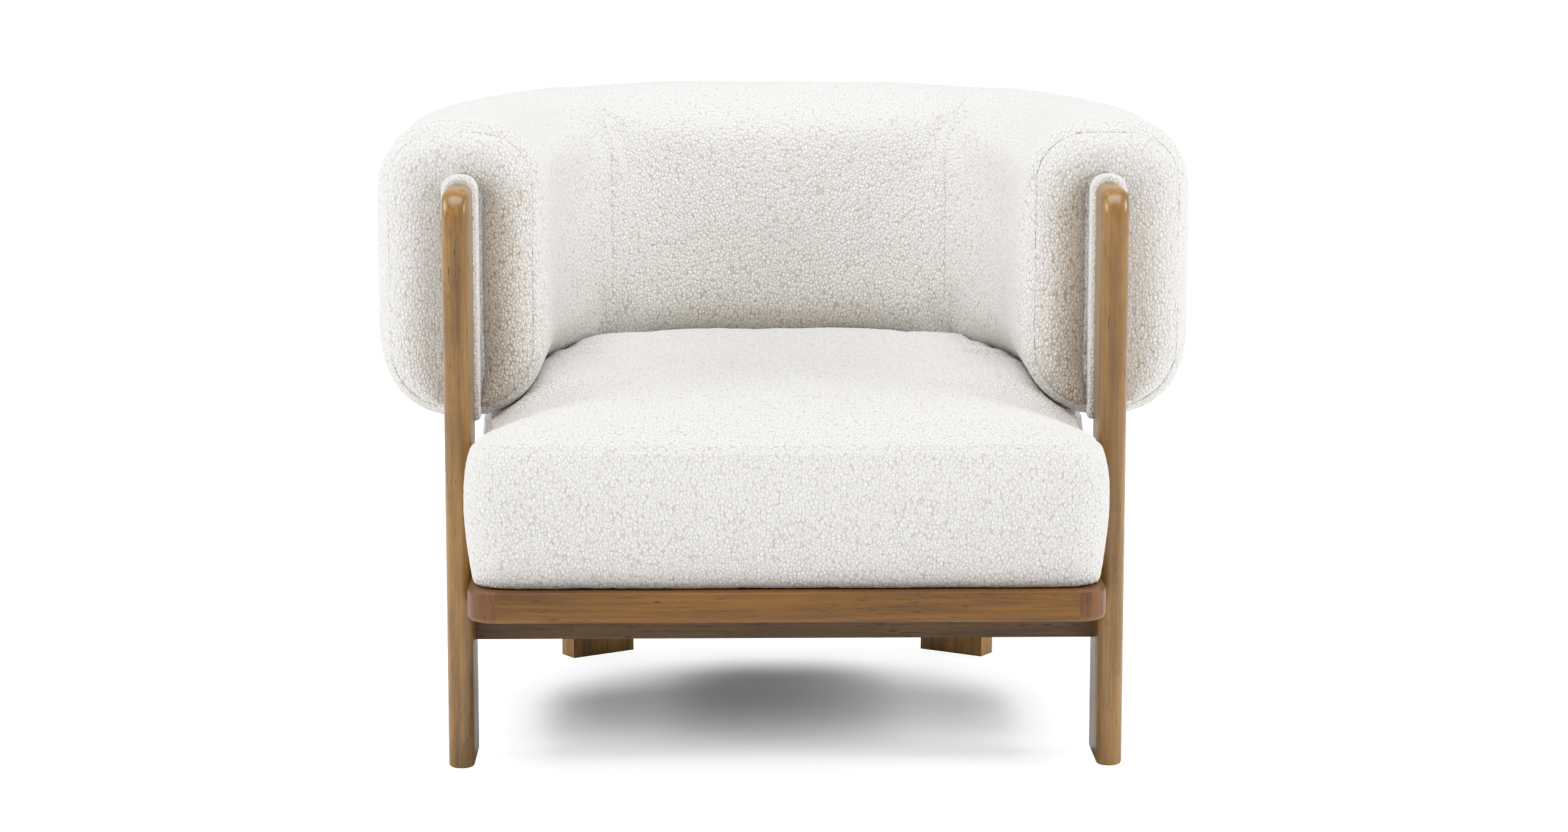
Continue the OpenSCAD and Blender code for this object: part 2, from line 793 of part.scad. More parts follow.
front_post_left();
front_post_right();
rear_leg_left();
rear_leg_right();
front_stretcher();
front_rail();
side_rail_left();
side_rail_right();
rear_rail();
front_corner_left();
front_corner_right();
rear_corner_left();
rear_corner_right();
seat_deck();
webbing_long();
webbing_cross();
seat_foam();
seat_crown();
seat_cover();
dust_cover();
lower_rib();
upper_rib();
rib_uprights();
leg_cleats();
arm_block_left();
arm_block_right();
inner_panel();
outer_panel();
arm_foam_left();
arm_foam_right();
back_foam();
arm_cover_left();
arm_cover_right();
back_cover();
end_panel_left();
end_panel_right();
welt_left();
welt_right();
post_bolts();
post_inserts();
side_bolts();
side_inserts();
leg_bolts();
leg_inserts();
cleat_bolts();
stretcher_dowels();
rail_dowels();
deck_screws();
glides();
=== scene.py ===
"""An upholstered barrel-backed armchair: boucle band and cushion on a frame of flat timber.

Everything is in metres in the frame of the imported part: +Z up, the chair faces -Y.
"""
import math

import bmesh
import bpy
import numpy as np
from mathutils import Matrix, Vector


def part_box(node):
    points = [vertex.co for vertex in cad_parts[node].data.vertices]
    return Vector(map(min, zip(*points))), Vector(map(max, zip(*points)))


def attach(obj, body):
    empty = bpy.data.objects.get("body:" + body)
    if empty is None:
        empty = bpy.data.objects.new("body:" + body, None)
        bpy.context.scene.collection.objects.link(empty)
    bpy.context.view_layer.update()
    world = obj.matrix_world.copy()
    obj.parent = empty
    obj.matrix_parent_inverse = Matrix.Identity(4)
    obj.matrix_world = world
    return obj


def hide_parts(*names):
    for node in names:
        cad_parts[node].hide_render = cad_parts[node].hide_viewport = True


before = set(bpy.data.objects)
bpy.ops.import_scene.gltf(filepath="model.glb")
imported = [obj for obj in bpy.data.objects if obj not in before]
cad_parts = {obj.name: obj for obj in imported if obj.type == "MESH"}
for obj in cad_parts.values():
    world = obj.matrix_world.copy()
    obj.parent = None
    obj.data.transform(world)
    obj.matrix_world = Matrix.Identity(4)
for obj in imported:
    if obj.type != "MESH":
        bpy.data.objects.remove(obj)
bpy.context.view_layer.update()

MM = 0.001

# ---------------------------------------------------------------- sizes, from the frame

post_lo, post_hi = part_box("front_post_left")
arm_lo, arm_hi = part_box("arm_cover_left")
back_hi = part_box("back_cover")[1]
seat_lo, seat_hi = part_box("seat_cover")

arm_x = -(post_lo.x + post_hi.x) / 2            # middle of an arm, right of the centre plane
band_hw = -arm_lo.x - arm_x                     # half the band's width
band_low, band_top = arm_lo.z, arm_hi.z
band_front = arm_lo.y
STRAIGHT_ARM = 250 * MM                         # length of the straight arms, from the posts' front faces
turn_y = post_lo.y + STRAIGHT_ARM
curve_d = back_hi.y - band_hw - turn_y
CURVE_N = 2.7                                   # squareness of the band's plan curve
SEAM_A = 48.0                                   # seam between arm and back, in degrees along the curve
TOP_R, LOW_R = 74 * MM, 84 * MM                 # radii of the band's section, at its top and bottom corners
ROLL_R = 12 * MM                                # roll round an arm's front
ROLL_TOP = 0.4                                  # it is wider by this share at the top
ARM_DROP = 5 * MM                               # the band's top is this much lower along the arms
RISE_FROM, RISE_TO = 0.18, 0.36                 # and loses that drop between these places along Y
CROWN_RISE = 5 * MM                             # the back's middle stands this much higher
CROWN_FROM, CROWN_TO = 0.285, 0.332             # and gains it between these

CLOTH_GRID = 11 * MM                            # spacing of the meshes that are simulated
MERGE = 0.05 * MM                               # points nearer than this are made one
LUMPS_PER_M, RIPPLES_PER_M = 26, 70             # slow unevenness of stuffed fabric
LOOP_TOP, LOOP_FALL = 0.6, 1.5                  # a loop's rise at its middle, and its fall from there


# ---------------------------------------------------------------- mesh helpers

def new_object(name, verts, faces, smooth=True):
    mesh = bpy.data.meshes.new(name)
    mesh.from_pydata([tuple(v) for v in verts], [], [tuple(f) for f in faces])
    mesh.validate()
    mesh.update()
    if smooth:
        mesh.shade_smooth()
    obj = bpy.data.objects.new(name, mesh)
    bpy.context.scene.collection.objects.link(obj)
    return obj


def ring_faces(n, m):
    """Quads between n closed rings of m points, and a cap on each end."""
    faces = [(i * m + j, (i + 1) * m + j, (i + 1) * m + (j + 1) % m, i * m + (j + 1) % m)
             for i in range(n - 1) for j in range(m)]
    faces.append(tuple(range(m)))
    faces.append(tuple((n - 1) * m + j for j in reversed(range(m))))
    return faces


def loft(name, rings):
    """A closed form through rings, its faces turned outward."""
    obj = new_object(name, np.concatenate(rings), ring_faces(len(rings), len(rings[0])))
    fix_normals(obj)
    return obj


def fix_normals(obj):
    bm = bmesh.new()
    bm.from_mesh(obj.data)
    bmesh.ops.remove_doubles(bm, verts=bm.verts, dist=MERGE)
    bmesh.ops.recalc_face_normals(bm, faces=bm.faces)
    bm.to_mesh(obj.data)
    bm.free()


def points_of(obj):
    co = np.empty(len(obj.data.vertices) * 3)
    obj.data.vertices.foreach_get("co", co)
    return co.reshape(-1, 3)


def normals_of(obj):
    no = np.empty(len(obj.data.vertices) * 3)
    obj.data.vertex_normals.foreach_get("vector", no)
    return no.reshape(-1, 3)


def set_points(obj, co):
    obj.data.vertices.foreach_set("co", co.ravel())
    obj.data.update()


def apply_modifiers(obj):
    depsgraph = bpy.context.evaluated_depsgraph_get()
    mesh = bpy.data.meshes.new_from_object(obj.evaluated_get(depsgraph))
    old = obj.data
    obj.modifiers.clear()
    obj.data = mesh
    mesh.name = obj.name
    bpy.data.meshes.remove(old)
    mesh.shade_smooth()


def subdivide(obj, levels):
    mod = obj.modifiers.new("smooth", "SUBSURF")
    mod.levels = mod.render_levels = levels
    mod.boundary_smooth = "PRESERVE_CORNERS"
    apply_modifiers(obj)


def evenly(points, step, closed=False):
    """The same outline with its points about step apart."""
    pts = np.asarray(points, float)
    if closed:
        pts = np.vstack([pts, pts[:1]])
    run = np.concatenate([[0], np.cumsum(np.linalg.norm(np.diff(pts, axis=0), axis=1))])
    count = max(3, round(run[-1] / step))
    at = np.linspace(0, run[-1], count + 1)[:count if closed else count + 1]
    return np.stack([np.interp(at, run, pts[:, k]) for k in range(pts.shape[1])], axis=1)


def smoothstep(a, b, x):
    t = np.clip((x - a) / (b - a), 0, 1)
    return t * t * (3 - 2 * t)


def mirrored(obj, name):
    """A copy on the other side of the centre plane, its faces turned outward again."""
    copy = bpy.data.objects.new(name, obj.data.copy())
    copy.data.name = name
    bpy.context.scene.collection.objects.link(copy)
    co = points_of(copy)
    co[:, 0] *= -1
    set_points(copy, co)
    copy.data.flip_normals()
    return copy


# ---------------------------------------------------------------- cloth

def swell(obj, held, limit, pressure=4.0, frames=20):
    """Blows the skin up as cloth. held gives each point's hold from 0 to 1, limit how far one may go."""
    start = points_of(obj)
    group = obj.vertex_groups.new(name="held")
    for i in np.nonzero(held > 0)[0]:
        group.add([int(i)], float(held[i]), "REPLACE")
    mod = obj.modifiers.new("cloth", "CLOTH")
    s = mod.settings
    s.quality = 5
    s.use_pressure = True
    s.uniform_pressure_force = pressure
    s.effector_weights.gravity = 0
    s.vertex_group_mass = "held"
    s.tension_stiffness = s.compression_stiffness = 22
    s.bending_stiffness = 2.0
    mod.collision_settings.use_collision = False
    mod.point_cache.frame_start, mod.point_cache.frame_end = 1, frames
    scene = bpy.context.scene
    for f in range(1, frames + 1):
        scene.frame_set(f)
    apply_modifiers(obj)
    obj.vertex_groups.clear()
    moved = points_of(obj) - start
    far = np.linalg.norm(moved, axis=1, keepdims=True)
    kept = limit * np.tanh(far / limit) / np.maximum(far, 1e-9)
    set_points(obj, start + moved * kept)
    scene.frame_set(1)


def scatter(cell, channel):
    """A repeatable value from 0 to 1 for each whole-number cell."""
    x, y, z = (cell[:, k].astype(np.int64) for k in range(3))
    h = (x * 73856093) ^ (y * 19349663) ^ (z * 83492791) ^ (channel * 2654435761)
    h = ((h ^ (h >> 13)) * 1274126177) & 0xFFFFFFFF
    return ((h ^ (h >> 16)) & 0xFFFFFF) / 0xFFFFFF


CORNERS = [np.array([i, j, k]) for i in (0, 1) for j in (0, 1) for k in (0, 1)]
AROUND = [np.array([i, j, k]) for i in (-1, 0, 1) for j in (-1, 0, 1) for k in (-1, 0, 1)]


def slow_noise(co, seed):
    """Smooth noise from -1 to 1 with features one unit across."""
    cell = np.floor(co)
    f = co - cell
    f = f * f * (3 - 2 * f)
    total = np.zeros(len(co))
    for corner in CORNERS:
        weight = np.prod(np.where(corner, f, 1 - f), axis=1)
        total += weight * scatter(cell + corner, seed)
    return 2 * total - 1


def loop_distance(co, seed):
    """Distance from each point to the nearest of points scattered one to a unit cell."""
    cell = np.floor(co)
    best = np.full(len(co), 9.0)
    for step in AROUND:
        near = cell + step
        spot = near + np.stack([scatter(near, seed + k) for k in (1, 2, 3)], axis=1)
        best = np.minimum(best, ((spot - co) ** 2).sum(axis=1))
    return np.sqrt(best)


def nub(obj, seed, height=0.6 * MM, pitch=5.5 * MM, lumps=0.5 * MM):
    """Raises the loops of the pile, and the slow lumps of stuffed fabric, along the normals."""
    co, no = points_of(obj), normals_of(obj)
    near = loop_distance(co / pitch, seed * 7)
    slow = slow_noise(co * LUMPS_PER_M, seed) + 0.5 * slow_noise(co * RIPPLES_PER_M, seed + 50)
    rise = height * (LOOP_TOP - LOOP_FALL * near * near) + lumps * slow
    set_points(obj, co + no * rise[:, None])


# ---------------------------------------------------------------- the band's shape

def band_path():
    """Middle line of the left half's curve: its angles, points, outward directions and distances run."""
    a = np.radians(np.linspace(0, 90, 721))
    mid = np.stack([-arm_x * np.cos(a) ** (2 / CURVE_N),
                    turn_y + curve_d * np.sin(a) ** (2 / CURVE_N)], axis=1)
    out = np.stack([-np.cos(a) ** (2 - 2 / CURVE_N) / arm_x,
                    np.sin(a) ** (2 - 2 / CURVE_N) / curve_d], axis=1)
    out /= np.linalg.norm(out, axis=1, keepdims=True)
    run = np.concatenate([[0], np.cumsum(np.linalg.norm(np.diff(mid, axis=0), axis=1))])
    return np.degrees(a), mid, out, run


path_a, path_mid, path_out, path_run = band_path()
seam_run = float(np.interp(SEAM_A, path_a, path_run))
back_run = float(path_run[-1])


def station(run):
    """Middle and outward direction at a distance along the curve; a negative one is on the straight arm."""
    if run < 0:
        return np.array([-arm_x, turn_y + run]), np.array([-1.0, 0.0])
    mirror = run > back_run
    r = 2 * back_run - run if mirror else run
    mid = np.array([np.interp(r, path_run, path_mid[:, k]) for k in (0, 1)])
    out = np.array([np.interp(r, path_run, path_out[:, k]) for k in (0, 1)])
    out /= np.linalg.norm(out)
    if mirror:
        mid[0], out[0] = -mid[0], -out[0]
    return mid, out


def band_section(inset=0.0, drop=0.0, top_more=0.0, step=CLOTH_GRID):
    """Rounded section as points [outward, up], drawn in by inset, its top lowered by drop."""
    top_c, low_c = band_hw - TOP_R, band_hw - LOW_R
    top_z, low_z = band_top - drop - TOP_R, band_low + LOW_R
    corners = [(top_c, top_z, TOP_R, 0), (-top_c, top_z, TOP_R, 90),
               (-low_c, low_z, LOW_R, 180), (low_c, low_z, LOW_R, 270)]
    pts = [(cx + r * math.cos(math.radians(t + s)), cz + r * math.sin(math.radians(t + s)))
           for cx, cz, r, t in corners for s in range(0, 91, 5)]
    pts = evenly(pts, step, closed=True)
    centre = np.array([0, (band_low + band_top) / 2])
    if inset:
        normal = np.roll(pts, -1, axis=0) - np.roll(pts, 1, axis=0)
        normal = np.stack([normal[:, 1], -normal[:, 0]], axis=1)
        normal /= np.linalg.norm(normal, axis=1, keepdims=True)
        flip = np.sign(((pts - centre) * normal).sum(axis=1, keepdims=True))
        normal *= flip
        pts = pts - normal * inset * (1 + top_more * np.clip(normal[:, 1:], 0, 1) ** 2)
    return pts


def band_ring(run, inset=0.0, top_more=0.0):
    mid, out = station(run)
    drop = (ARM_DROP * (1 - smoothstep(RISE_FROM, RISE_TO, float(mid[1])))
            - CROWN_RISE * smoothstep(CROWN_FROM, CROWN_TO, float(mid[1])))
    sec = band_section(inset, float(drop), top_more)
    ring = np.empty((len(sec), 3))
    ring[:, :2] = mid + sec[:, :1] * out
    ring[:, 2] = sec[:, 1]
    return ring


front_run = band_front - turn_y
GROOVE = 0.5 * MM                               # the front seam is pulled this far into the stuffing
SIDE_GROOVE = 0.5 * MM                          # the same for the seam between arm and back
FOLD, FOLD_IN = 1.2 * MM, 0.3 * MM              # a ring this far behind and inside the front seam
TUCK, TUCK_IN = 14 * MM, 6 * MM                 # the cover ends this far behind the front seam, and inside it
TAIL_IN = 12 * MM                               # and this far inside the seam between arm and back
SEAM_GAP = 0.1 * MM                             # half the gap between the two covers at that seam
BESIDE_SEAM = 2 * MM                            # the first full ring stands this far from it
BAND_SWELL = 6 * MM                             # how far a point of the band may blow out
ROLL_STEPS = (5, 12, 26, 46, 68, 90)            # degrees round the roll of an arm's front


def hold_ends(obj, ends, reach=1 * MM):
    """Full hold for the points on the given rings."""
    co = points_of(obj)
    held = np.zeros(len(co))
    for ring in ends:
        d = np.abs(co[:, None, :] - ring[None, :, :]).max(axis=2).min(axis=1)
        held[d < reach] = 1
    return held


def make_arm():
    """The left arm's cover, from its front seam to the seam with the back."""
    cap = band_ring(front_run + TUCK, ROLL_R + TUCK_IN, ROLL_TOP)
    fold = band_ring(front_run + GROOVE + FOLD, ROLL_R + FOLD_IN, ROLL_TOP)
    seam = band_ring(front_run + GROOVE, ROLL_R, ROLL_TOP)
    roll = [band_ring(front_run + ROLL_R * (1 - math.cos(t)), ROLL_R * (1 - math.sin(t)), ROLL_TOP)
            for t in np.radians(ROLL_STEPS)]
    runs = np.linspace(front_run + ROLL_R, seam_run, round((seam_run - front_run - ROLL_R) / CLOTH_GRID) + 1)
    body = [band_ring(r) for r in runs[1:-1]]
    near = band_ring(seam_run - BESIDE_SEAM)
    last = band_ring(seam_run - SEAM_GAP, SIDE_GROOVE)
    tail = band_ring(seam_run - SEAM_GAP, SIDE_GROOVE + TAIL_IN)
    obj = loft("arm_left", [cap, fold, seam] + roll + body + [near, last, tail])
    swell(obj, hold_ends(obj, [cap, fold, seam, last, tail]), limit=BAND_SWELL)
    return obj


def make_back():
    """The back's cover, from one seam with an arm to the other."""
    lo, hi = seam_run + SEAM_GAP, 2 * back_run - seam_run - SEAM_GAP
    runs = np.linspace(lo, hi, round((hi - lo) / CLOTH_GRID) + 1)
    ends = [band_ring(lo, SIDE_GROOVE + TAIL_IN), band_ring(lo, SIDE_GROOVE),
            band_ring(hi, SIDE_GROOVE), band_ring(hi, SIDE_GROOVE + TAIL_IN)]
    body = [band_ring(r) for r in [lo + BESIDE_SEAM, *runs[1:-1], hi - BESIDE_SEAM]]
    obj = loft("back", ends[:2] + body + ends[2:])
    swell(obj, hold_ends(obj, ends), limit=BAND_SWELL)
    return obj


# ---------------------------------------------------------------- end panels and welts

WELT_HW = 21.5 * MM                             # half the welt's width
WELT_TOP = post_hi.z + 10 * MM
WELT_LOW = band_low - 3 * MM
WELT_ARCH_R, WELT_FOOT_R = 18 * MM, 6 * MM
ROUNDEST = 0.96                                 # a radius takes at most this share of the half width
PILLOW = 9 * MM                                 # an end panel stands this far in front of its seam
PILLOW_AT, PILLOW_POWER = 0.42, 2.4             # it is fullest at this share of the way to the welt
VALLEY_IN, VALLEY_OUT = 32 * MM, 15 * MM        # it falls back by this much at the welt, inner and outer side
VALLEY_AT = 0.40                                # starting at this share of the way
OVER_ARCH = 0.75                                # over the welt's arch it loses this share of the fall
UNDER_WELT, HELD_UNDER = 3 * MM, 2 * MM         # it runs on this far under the welt, and is held there
PANEL_STEPS = (0, 0.025, 0.09, 0.18, 0.28, 0.39, 0.50, 0.61, 0.71, 0.80, 0.90, 1.0)
PAINTED_SHADE_REACH_IN, PAINTED_SHADE_REACH_OUT = 52 * MM, 34 * MM    # shade is painted into the pile this far from the welt
PAINTED_SHADE_IN, PAINTED_SHADE_OUT = 1.15, 0.15              # and painted this strongly


def slot_distance(x, z, half, top):
    """Distance of a point beside the post's middle line from an upright slot with a round top."""
    over = np.maximum(z - (top - half), 0)
    return np.sqrt(x * x + over * over) - half


def make_end_panel():
    """Front of the left arm: two long pillows beside the welt, one arch over it."""
    outline = band_section(ROLL_R, ARM_DROP, ROLL_TOP)
    spine_low, spine_top = band_low + 62 * MM, post_hi.z - 20 * MM
    spine = np.stack([np.zeros(len(outline)), np.clip(outline[:, 1], spine_low, spine_top)], axis=1)
    z_mid = (band_low + band_top) / 2
    arch_z = WELT_TOP - WELT_HW
    arch_from, arch_to = arch_z - 10 * MM, arch_z + 22 * MM
    rings = []
    for t in PANEL_STEPS:
        flat = outline * (1 - t) + spine * t
        x, z = flat[:, 0], flat[:, 1]
        seam_gap = np.linalg.norm(flat - outline, axis=1)
        slot_gap = np.maximum(slot_distance(x, z, WELT_HW - UNDER_WELT, WELT_TOP - UNDER_WELT), 0)
        u = seam_gap / np.maximum(seam_gap + slot_gap, 1e-6)
        swollen = PILLOW * (1 - (1 - np.clip(u / PILLOW_AT, 0, 1)) ** PILLOW_POWER)
        over_arch = smoothstep(arch_from, arch_to, z)
        valley = np.where(x > 0, VALLEY_IN, VALLEY_OUT) * (1 - OVER_ARCH * over_arch)
        fall = valley * (np.clip(u - VALLEY_AT, 0, 1) / (1 - VALLEY_AT)) ** 2
        rings.append(np.stack([-arm_x + x, band_front + GROOVE - swollen + fall, z], axis=1))
    narrower, shorter = 0.92, 0.96
    back = rings[0].copy()
    back[:, 1] = band_front + TUCK
    back[:, 0] = -arm_x + (back[:, 0] + arm_x) * narrower
    back[:, 2] = z_mid + (back[:, 2] - z_mid) * shorter
    fold = rings[0].copy()
    fold[:, 1] += FOLD
    obj = loft("end_panel_left", [back, fold] + rings)
    co = points_of(obj)
    x, z = co[:, 0] + arm_x, co[:, 2]
    inside = slot_distance(x, z, WELT_HW - HELD_UNDER, WELT_TOP - HELD_UNDER) < 0
    held = np.maximum(hold_ends(obj, [back, fold, rings[0]]), inside.astype(float))
    swell(obj, held, limit=4 * MM)
    return obj


def mark_painted_shade(obj):
    """Records how much shade is painted into the pile in the hollows beside the welt, far more on the inner
    side.
    """
    co = points_of(obj)
    x, z = co[:, 0] + arm_x, co[:, 2]
    beside = np.maximum(slot_distance(x, z, WELT_HW, WELT_TOP), 0)
    reach = np.where(x > 0, PAINTED_SHADE_REACH_IN, PAINTED_SHADE_REACH_OUT)
    none_above, full_below = WELT_TOP + 24 * MM, WELT_TOP - 50 * MM
    painted_shade = np.exp(-(beside / reach) ** 2) * smoothstep(none_above, full_below, z)
    record_painted_shade(obj, painted_shade * np.where(x > 0, PAINTED_SHADE_IN, PAINTED_SHADE_OUT))


def record_painted_shade(obj, amount):
    """Keeps amount, the painted shade, on the points as the attribute that the pile's material reads."""
    layer = obj.data.attributes.new("painted_shade", "FLOAT", "POINT")
    layer.data.foreach_set("value", amount.astype(np.float32))


def welt_outline(inset, step=1.8 * MM):
    """Inverted U with a rounded foot, as points [x, z] from the post's middle line."""
    half, top, low = WELT_HW - inset, WELT_TOP - inset, WELT_LOW + inset
    arch, foot = min(WELT_ARCH_R, ROUNDEST * half), min(WELT_FOOT_R, ROUNDEST * half)
    pts = [(half - arch + arch * math.cos(t), top - arch + arch * math.sin(t))
           for t in np.radians(np.linspace(0, 90, 13))]
    pts += [(-half + arch - arch * math.sin(t), top - arch + arch * math.cos(t))
            for t in np.radians(np.linspace(0, 90, 13))]
    pts += [(-half + foot - foot * math.cos(t), low + foot - foot * math.sin(t))
            for t in np.radians(np.linspace(0, 90, 7))]
    pts += [(half - foot + foot * math.sin(t), low + foot - foot * math.cos(t))
            for t in np.radians(np.linspace(0, 90, 7))]
    return evenly(pts, step, closed=True)


def make_welt():
    """Covered strip between the left post and its arm. Its profile is (inset, depth) in mm."""
    profile = [(3.0, 30), (0.8, 26), (0, 18), (0, 9), (0.3, 5), (1.3, 2.8), (3.0, 1.8), (5.0, 1.6),
               (9.5, 1.6), (14, 1.6), (20, 1.6)]
    count = len(welt_outline(0))
    rings = []
    for inset, depth in profile:
        flat = welt_outline(inset * MM)
        at = np.linspace(0, len(flat), count, endpoint=False)
        wrap = np.vstack([flat, flat[:1]])
        flat = np.stack([np.interp(at, np.arange(len(wrap)), wrap[:, k]) for k in (0, 1)], axis=1)
        y = np.full(count, post_hi.y + depth * MM)
        rings.append(np.stack([-arm_x + flat[:, 0], y, flat[:, 1]], axis=1))
    obj = loft("welt_left", rings)
    nub(obj, 11, height=0.5 * MM, pitch=3.4 * MM, lumps=0.35 * MM)
    return obj


# ---------------------------------------------------------------- cushion

SEAT_HW = seat_hi.x
seat_mid_y = (seat_lo.y + seat_hi.y) / 2
SEAM_DOWN = 48 * MM                             # the seam lies this far below the CAD cushion's top
seam_z = seat_hi.z - SEAM_DOWN
CROWN_H = 46 * MM                               # and the crown rises this far above the seam
CROWN_FULL = 0.85                               # below 1 the crown is fuller near its edge
CORNER_R = 46 * MM                              # front corners, seen from above
REAR_OUT = 9 * MM                               # the rear edge stands this far behind the CAD cushion's
SWELL_ROOM = 2 * MM                             # the form starts this much smaller, because it swells
CUSHION_SWELL = 10 * MM                         # how far a point of it may blow out
CUSHION_VOXEL = 8 * MM
CUSHION_GRID = 9 * MM
TOUCH = 0.5 * MM                                # the cushion stays this far from the band
SEAM_IN = 9                                     # the seam stands this many mm inside the widest line
SEAM_HOLD = 0.75                                # and is held this firmly while the rest swells
REAR_LIFT = 24 * MM                             # raises the rear edge towards the band
RISE_FRONT, RISE_REAR = 190 * MM, 55 * MM       # the crown reaches its height this far in from its seam


def seat_plan():
    """Right-hand half of the cushion's widest outline, from front to back, then mirrored.

    It narrows to a waist between the posts, runs back, and turns in to the slanting rear corners.
    """
    waist = -post_hi.x - 3 * MM
    narrow_from, narrow_to = post_lo.y - 34 * MM, post_lo.y - 6 * MM
    front = seat_lo.y
    half = [(SEAT_HW - CORNER_R + CORNER_R * math.sin(t), front + CORNER_R - CORNER_R * math.cos(t))
            for t in np.radians(np.linspace(0, 90, 10))]
    for y in np.linspace(narrow_from, narrow_to, 5):
        half.append((SEAT_HW + (waist - SEAT_HW) * smoothstep(narrow_from, narrow_to, y), y))
    half += [(waist, post_hi.y + 4 * MM), (waist + 3 * MM, post_hi.y + 50 * MM)]
    rear = seat_hi.y + REAR_OUT
    half += bend((waist + 3 * MM, 110 * MM), (waist + 3 * MM, 188 * MM), (303 * MM, 228 * MM), 8)
    half += bend((193 * MM, 283 * MM), (142 * MM, rear), (82 * MM, rear), 6)
    half = np.array(half)
    return np.vstack([half, half[::-1] * [-1, 1]])


def bend(p, q, r, steps):
    """Points on the smooth curve from p to r that leaves and arrives in the direction of q."""
    p, q, r = np.array(p), np.array(q), np.array(r)
    return [tuple((1 - t) ** 2 * p + 2 * t * (1 - t) * q + t * t * r) for t in np.linspace(0, 1, steps)]


COARSE = 6                                      # every sixth point of the band's path is near enough
CHUNK = 4000                                    # points compared with the path at a time


def band_gap(co):
    """Distance of points from the band, with its lower corners' radius, and the direction out of it."""
    side = np.sign(co[:, 0])
    x, y = -np.abs(co[:, 0]), co[:, 1]
    u = -arm_x - x
    out = np.tile([-1.0, 0.0], (len(co), 1))
    turned = np.nonzero(y > turn_y)[0]
    for part in np.array_split(turned, max(1, len(turned) // CHUNK)):
        d = ((x[part, None] - path_mid[None, ::COARSE, 0]) ** 2
             + (y[part, None] - path_mid[None, ::COARSE, 1]) ** 2)
        k = d.argmin(axis=1) * COARSE
        out[part] = path_out[k]
        u[part] = (x[part] - path_mid[k, 0]) * path_out[k, 0] + (y[part] - path_mid[k, 1]) * path_out[k, 1]
    core = np.stack([np.abs(u) - (band_hw - LOW_R), np.abs(co[:, 2] - (band_low + band_top) / 2)
                     - ((band_top - band_low) / 2 - LOW_R)], axis=1)
    reach = np.maximum(core, 0)
    gap = np.linalg.norm(reach, axis=1) + np.minimum(core.max(axis=1), 0) - LOW_R
    away = reach / np.maximum(np.linalg.norm(reach, axis=1, keepdims=True), 1e-9)
    push = np.empty_like(co)
    lateral = away[:, 0] * np.sign(u)
    push[:, 0] = out[:, 0] * lateral * np.where(side > 0, -1, 1)
    push[:, 1] = out[:, 1] * lateral
    push[:, 2] = -away[:, 1]
    gap[y < band_front] = 1
    return gap, push


def make_cushion():
    """The cushion: rings up its sides to the seam, then in over the crown, swollen and kept off the band."""
    plan = evenly(seat_plan(), CUSHION_GRID, closed=True)
    z0, seam = seat_lo.z, seam_z
    # A side's point is (inset, height above the bottom) in mm. A section's row is (inset in mm, z in metres,
    # mm past the seam).
    side = [(60, -8), (16, -8), (11, -6), (9, 0), (8, 8), (6, 20), (4, 38), (1.5, 60), (0, 84), (0, 112),
            (2, 134)]
    crown = (16, 34, 52, 74, 100, 140, 200, 270, 330)
    section = [(d, z0 + z * MM, 0.0) for d, z in side] + [(6, seam - 8 * MM, 0.0), (SEAM_IN, seam, 0.0)]
    section += [(d, seam, d - SEAM_IN) for d in crown]
    tucked = smoothstep(post_lo.y, post_hi.y + 30 * MM, plan[:, 1])
    reach = RISE_FRONT + (RISE_REAR - RISE_FRONT) * tucked
    lift_from, lift_to = post_hi.y + 20 * MM, post_hi.y + 120 * MM
    lift = REAR_LIFT * smoothstep(lift_from, lift_to, plan[:, 1])
    centre = np.array([0, seat_mid_y])
    side_lifts_from = seam - 60 * MM
    rings = []
    for d, z, inward in section:
        flat = centre + (plan - centre) * (1 - (d * MM + SWELL_ROOM) / SEAT_HW)
        share = (1 - (1 - np.clip(inward * MM / reach, 0, 1)) ** 2.0) ** CROWN_FULL
        raised = lift * (1 - share) * smoothstep(side_lifts_from, seam, z)
        rings.append(np.column_stack([flat, z + CROWN_H * share + raised]))
    obj = loft("cushion", rings)
    remesh = obj.modifiers.new("even", "REMESH")
    remesh.mode, remesh.voxel_size = "VOXEL", CUSHION_VOXEL
    relax = obj.modifiers.new("relax", "SMOOTH")
    relax.factor, relax.iterations = 0.5, 2
    apply_modifiers(obj)
    co = points_of(obj)
    free_above, held_below = z0 + 14 * MM, z0 + 5 * MM
    bottom = smoothstep(free_above, held_below, co[:, 2])
    seam_reach, near_side = 5 * MM, 30 * MM
    edge = np.exp(-((co[:, 2] - seam) / seam_reach) ** 2) * (side_inset(co) < near_side)
    swell(obj, np.clip(np.maximum(bottom, SEAM_HOLD * edge), 0, 1), limit=CUSHION_SWELL)
    co = points_of(obj)
    gap, push = band_gap(co)
    near = gap < TOUCH
    co[near] += push[near] * (TOUCH - gap[near])[:, None]
    co[:, 2] = np.maximum(co[:, 2], z0)
    set_points(obj, co)
    subdivide(obj, 1)
    return obj


def side_inset(co):
    """How far points lie inside the cushion's front and side faces."""
    across = SEAT_HW - np.abs(co[:, 0])
    return np.minimum(across, co[:, 1] - seat_lo.y)


